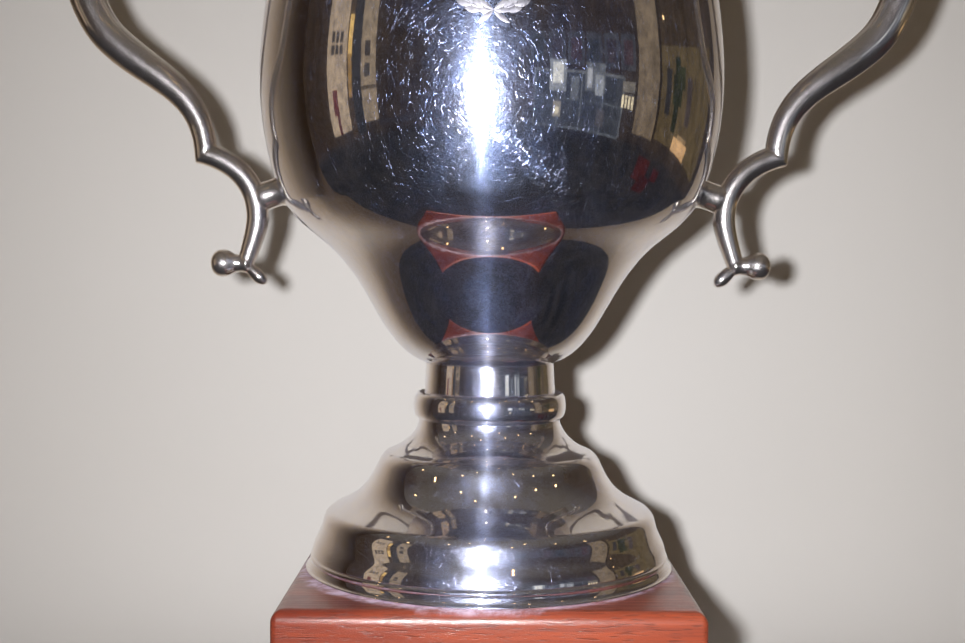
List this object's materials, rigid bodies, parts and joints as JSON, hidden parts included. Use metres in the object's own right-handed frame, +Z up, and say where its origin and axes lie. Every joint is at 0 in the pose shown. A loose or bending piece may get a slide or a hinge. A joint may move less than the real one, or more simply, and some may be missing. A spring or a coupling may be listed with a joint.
{
  "type": "cup trophy",
  "caption": "Presentation cup with a flared open bowl, scroll handles and a stepped round foot, bolted to a square polished wooden plinth.",
  "frame": {"origin": "centre of the plinth's underside, on the surface the trophy stands on", "axes": "+Z up along the cup's axis; the handles lie along X; the nameplate faces -Y"},
  "size_m": [0.4108, 0.2208, 0.4504],
  "materials": {
    "baize": "felted",
    "mahogany": "glossy varnish",
    "block_wood": "sawn",
    "brass": "machined",
    "steel": "zinc plated",
    "boss_metal": "machined",
    "silver_plate": "polished",
    "silver_foot": "polished",
    "silver_bowl": "mirror polished, fine wipe marks",
    "silver_handle": "hand polished castings"
  },
  "bodies": {
    "root": {"baize_strips": "baize", "skirting_front": "mahogany", "skirting_back": "mahogany", "skirting_left": "mahogany", "skirting_right": "mahogany", "panel_front": "mahogany", "panel_back": "mahogany", "panel_left": "mahogany", "panel_right": "mahogany", "corner_blocks": "block_wood", "block_screws": "brass", "plinth_board": "mahogany", "nameplate": "silver_plate", "nameplate_pins": "silver_plate", "foot_flange": "silver_foot", "foot_shell": "silver_foot", "knop_bead": "silver_foot", "stem_collar": "silver_foot", "bowl_shell": "silver_bowl", "bowl_rim_wire": "silver_bowl", "bowl_boss": "boss_metal", "tie_rod": "steel", "stem_washer": "steel", "stem_nut": "steel", "plinth_washer": "steel", "retaining_nut": "steel", "upper_scroll_left": "silver_handle", "lower_scroll_left": "silver_handle", "drop_left": "silver_handle", "leaf_left": "silver_handle", "strut_left": "silver_handle", "mount_left": "silver_handle", "upper_scroll_right": "silver_handle", "lower_scroll_right": "silver_handle", "drop_right": "silver_handle", "leaf_right": "silver_handle", "strut_right": "silver_handle", "mount_right": "silver_handle"}
  },
  "joints": []
}
